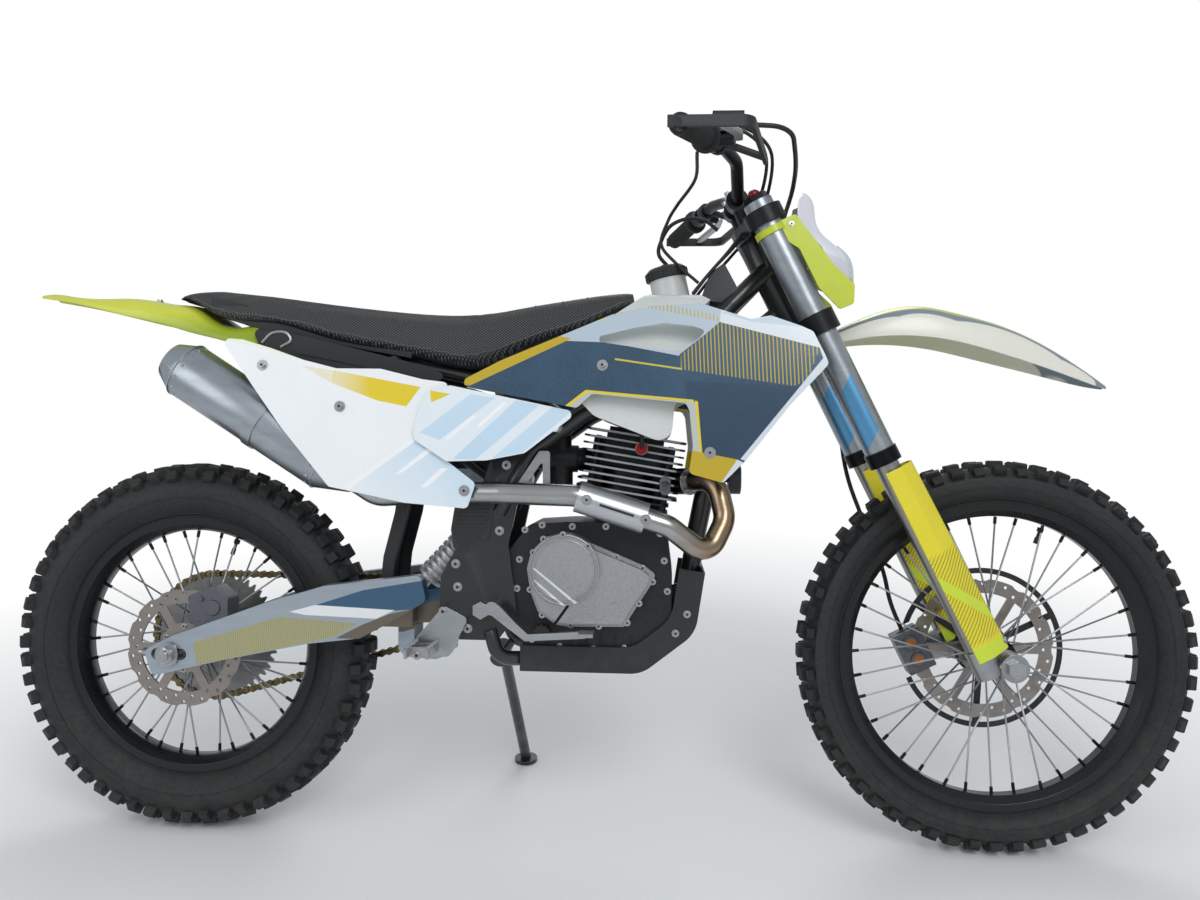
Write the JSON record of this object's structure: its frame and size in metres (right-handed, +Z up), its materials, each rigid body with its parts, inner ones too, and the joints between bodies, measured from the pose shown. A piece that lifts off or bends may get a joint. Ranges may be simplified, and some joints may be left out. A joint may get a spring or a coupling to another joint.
{
  "type": "trail motorcycle",
  "caption": "Off-road trail motorcycle with wire wheels, knobby tyres, finned engine, long seat and plastic bodywork, leaning on its side stand.",
  "frame": {"origin": "on the floor, under the middle of the leaning machine's bounding box", "axes": "+X to the front of the machine along its length, +Y to its left, +Z up from the floor"},
  "size_m": [2.172, 0.8294, 1.2828],
  "materials": {
    "frame_black": "semi-gloss black paint on steel tube",
    "alloy": "satin cast and forged alloy",
    "black_alloy": "black anodised alloy",
    "steel": "bright steel",
    "chrome_steel": "polished steel",
    "engine_grey": "engine block as one heavy solid",
    "exhaust": "satin stainless steel",
    "tank_milk": "milky translucent plastic",
    "blue_plastic": "slate-blue plastic with graphics bands",
    "white_plastic": "white plastic",
    "lime_plastic": "fluorescent yellow-green plastic",
    "black_plastic": "black moulded plastic",
    "seat_cover": "black textured seat cover",
    "grip_rubber": "black rubber",
    "tyre_rubber": "black knobby tyre",
    "lamp_glass": "clear lamp lens",
    "gold_steel": "roller chain"
  },
  "bodies": {
    "chassis": {"main_frame": "frame_black", "subframe": "frame_black", "swingarm": "alloy", "rear_axle": "steel", "pivot_bolt": "steel", "drive_chain": "gold_steel", "front_sprocket": "steel", "crankcase": "engine_grey", "clutch_cover": "alloy", "left_cover": "alloy", "cylinder": "alloy", "carburettor": "alloy", "header_pipe": "exhaust", "heat_shield": "exhaust", "muffler": "exhaust", "skid_plate": "black_plastic", "fuel_tank": "tank_milk", "tank_cap": "black_plastic", "tank_shrouds": "blue_plastic", "side_panels": "white_plastic", "airbox_covers": "white_plastic", "airbox": "black_plastic", "seat": "seat_cover", "rear_fender": "lime_plastic", "tail_covers": "black_plastic", "mudflap": "black_plastic", "shock_absorber": "steel", "footpegs": "steel", "foot_controls": "alloy", "rear_caliper": "black_alloy", "horn": "black_plastic"},
    "steering": {"fork_tubes": "alloy", "fork_legs": "chrome_steel", "fork_guards": "lime_plastic", "lower_clamp": "black_alloy", "upper_clamp": "black_alloy", "bar_mount": "black_alloy", "handlebar": "black_alloy", "grips": "grip_rubber", "perches": "black_alloy", "levers": "alloy", "handguards": "black_plastic", "headlight_mask": "white_plastic", "headlight": "lamp_glass", "mask_brackets": "lime_plastic", "front_fender": "white_plastic", "front_axle": "steel", "front_caliper": "black_alloy", "front_brake_hose": "grip_rubber", "disc_guard": "black_plastic"},
    "front_wheel": {"front_tyre": "tyre_rubber", "front_rim": "black_alloy", "front_hub": "black_alloy", "front_disc": "steel"},
    "rear_wheel": {"rear_tyre": "tyre_rubber", "rear_rim": "black_alloy", "rear_hub": "black_alloy", "rear_disc": "steel", "rear_sprocket": "steel"},
    "stand": {"side_stand": "frame_black"}
  },
  "joints": [
    {"name": "steering", "type": "hinge", "parent": "chassis", "child": "steering", "pos_m": [0.37176, -0.04285, 0.93321], "axis": [-0.4462, 0.1554, 0.8813], "range_deg": [-42, 42]},
    {"name": "front_wheel_spin", "type": "hinge", "parent": "steering", "child": "front_wheel", "pos_m": [0.734, -0.14566, 0.35013], "axis": [0, 0.9848, -0.1736], "continuous": true},
    {"name": "rear_wheel_spin", "type": "hinge", "parent": "chassis", "child": "rear_wheel", "pos_m": [-0.746, -0.14757, 0.33935], "axis": [0, 0.9848, -0.1736], "continuous": true},
    {"name": "side_stand_fold", "type": "hinge", "parent": "chassis", "child": "stand", "pos_m": [-0.18, -0.03528, 0.29662], "axis": [0.1504, 0.9181, 0.3667], "range_deg": [0, 93.4]}
  ]
}
